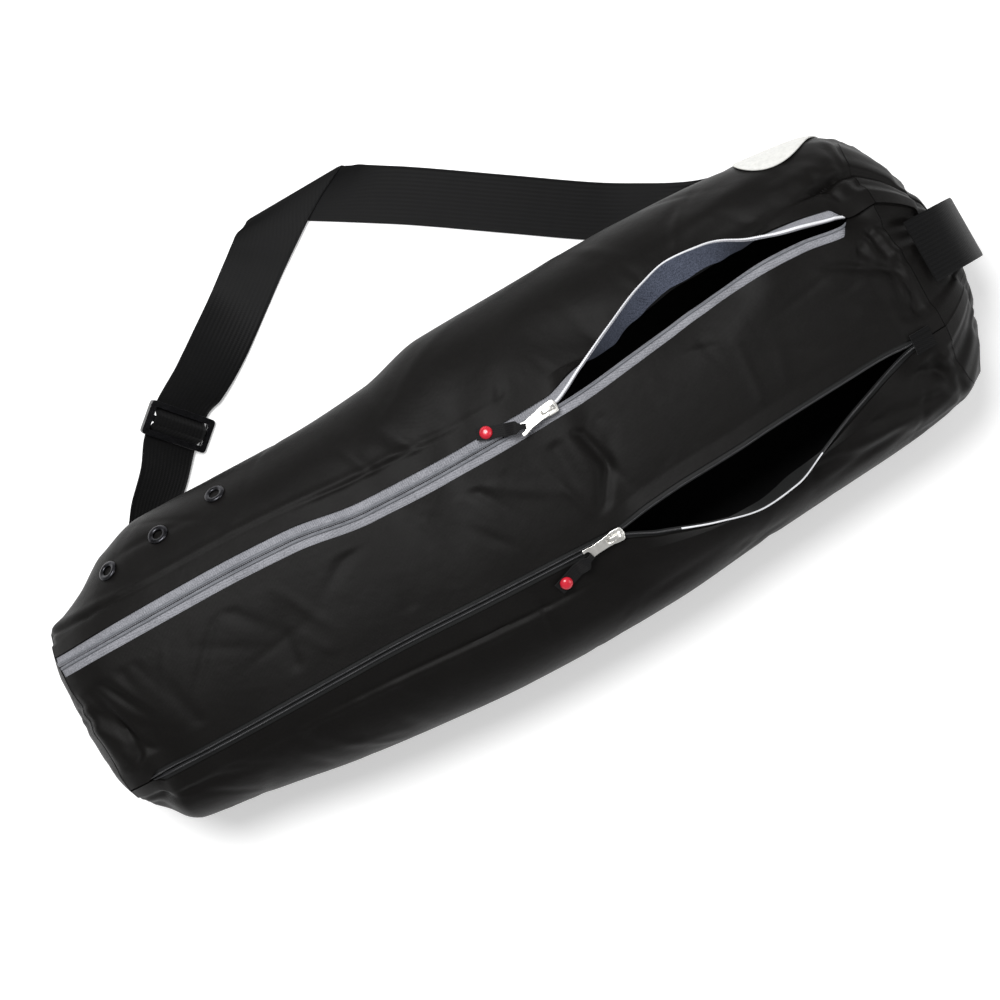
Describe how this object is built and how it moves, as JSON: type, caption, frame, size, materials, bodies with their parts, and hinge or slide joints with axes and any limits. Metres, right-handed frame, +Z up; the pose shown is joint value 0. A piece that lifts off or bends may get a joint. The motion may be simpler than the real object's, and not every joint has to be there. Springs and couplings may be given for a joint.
{
  "type": "yoga mat bag",
  "caption": "Zipped tubular cloth bag for a rolled exercise mat, opened along its top, with a side pocket zip, an end grab handle and a shoulder strap spread beside it.",
  "frame": {"origin": "middle of the flat underside, where the bag lies on the floor", "axes": "+X along the bag to the end with the grab handle, +Y to the side where the shoulder strap lies, +Z up out of the opened top"},
  "size_m": [0.7402, 0.4159, 0.1613],
  "materials": {
    "black_nylon": "woven, soft sheen",
    "black_webbing": "ribbed webbing",
    "grey_tape": "ribbed",
    "silver_coil": "satin",
    "black_tape": "ribbed",
    "silver_metal": "polished",
    "dark_metal": "dark, polished",
    "red_plastic": "glossy",
    "black_plastic": "glossy",
    "white_patch": "smooth, bare"
  },
  "bodies": {
    "root": {"strap_side_panel": "black_nylon", "centre_panel": "black_nylon", "pocket_side_panel": "black_nylon", "back_panel": "black_nylon", "eyelet_1": "dark_metal", "eyelet_2": "dark_metal", "eyelet_3": "dark_metal", "left_end_panel": "black_nylon", "right_end_panel": "black_nylon", "main_zip_upper_tape": "grey_tape", "main_zip_upper_coil": "silver_coil", "main_zip_lower_tape": "grey_tape", "main_zip_lower_coil": "silver_coil", "pocket_zip_upper_tape": "black_tape", "pocket_zip_upper_coil": "black_tape", "pocket_zip_lower_tape": "black_tape", "pocket_zip_lower_coil": "black_tape", "main_slider": "silver_metal", "main_pull_tab": "silver_metal", "main_pull_ribbon": "black_webbing", "main_pull_button": "red_plastic", "pocket_slider": "silver_metal", "pocket_pull_tab": "silver_metal", "pocket_pull_ribbon": "black_webbing", "pocket_pull_button": "red_plastic", "pocket_zip_end_tab": "black_webbing", "round_patch": "white_patch", "shoulder_strap": "black_webbing", "strap_buckle": "black_plastic", "grab_handle": "black_webbing"}
  },
  "joints": []
}
